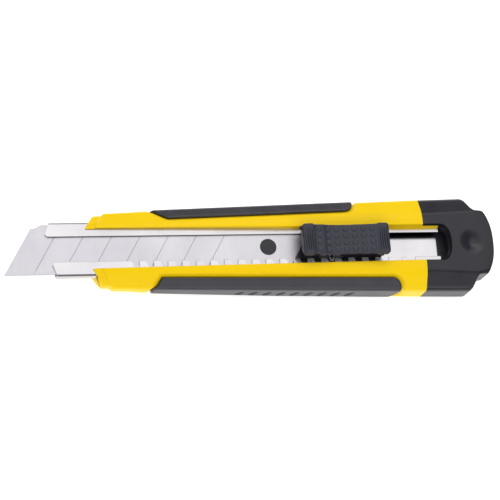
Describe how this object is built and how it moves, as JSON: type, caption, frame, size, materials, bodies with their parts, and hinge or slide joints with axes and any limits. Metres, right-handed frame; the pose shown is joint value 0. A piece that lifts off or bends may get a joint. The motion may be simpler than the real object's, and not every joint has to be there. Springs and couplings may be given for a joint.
{
  "type": "utility knife",
  "caption": "Snap-off utility knife: sleeve handle with soft grips, steel blade channel, sprung locking slider, thumb button and pull-off end cap.",
  "frame": {"origin": "on the flat back face of the handle, on the knife's centreline", "axes": "+X along the knife towards the end cap, so the blade points along -X; +Y towards the blade's spine; +Z towards the slider side"},
  "size_m": [0.1758, 0.0346, 0.0194],
  "materials": {
    "yellow_plastic": "satin moulded ABS",
    "soft_grip": "matte moulded rubber",
    "black_plastic": "fine satin moulded plastic",
    "channel_steel": "satin rolled stainless sheet",
    "spring_steel": "bright spring strip",
    "blade_steel": "ground carbon steel"
  },
  "bodies": {
    "handle": {"handle_body": "yellow_plastic", "upper_grip": "soft_grip", "lower_grip": "soft_grip", "blade_channel": "channel_steel"},
    "slider": {"slider_carrier": "black_plastic", "lock_spring": "spring_steel", "blade": "blade_steel"},
    "button": {"thumb_button": "black_plastic"},
    "cap": {"end_cap": "black_plastic"}
  },
  "joints": [
    {"name": "slider_slide", "type": "slide", "parent": "handle", "child": "slider", "axis": [1, 0, 0], "range_m": [-0.065, 0.02], "deforming": ["lock_spring"]},
    {"name": "button_shift", "type": "slide", "parent": "slider", "child": "button", "axis": [1, 0, 0], "range_m": [-0.0012, 0.0012], "stiffness_N_per_m": 400},
    {"name": "cap_pull", "type": "slide", "parent": "handle", "child": "cap", "axis": [1, 0, 0], "range_m": [0, 0.02]}
  ]
}
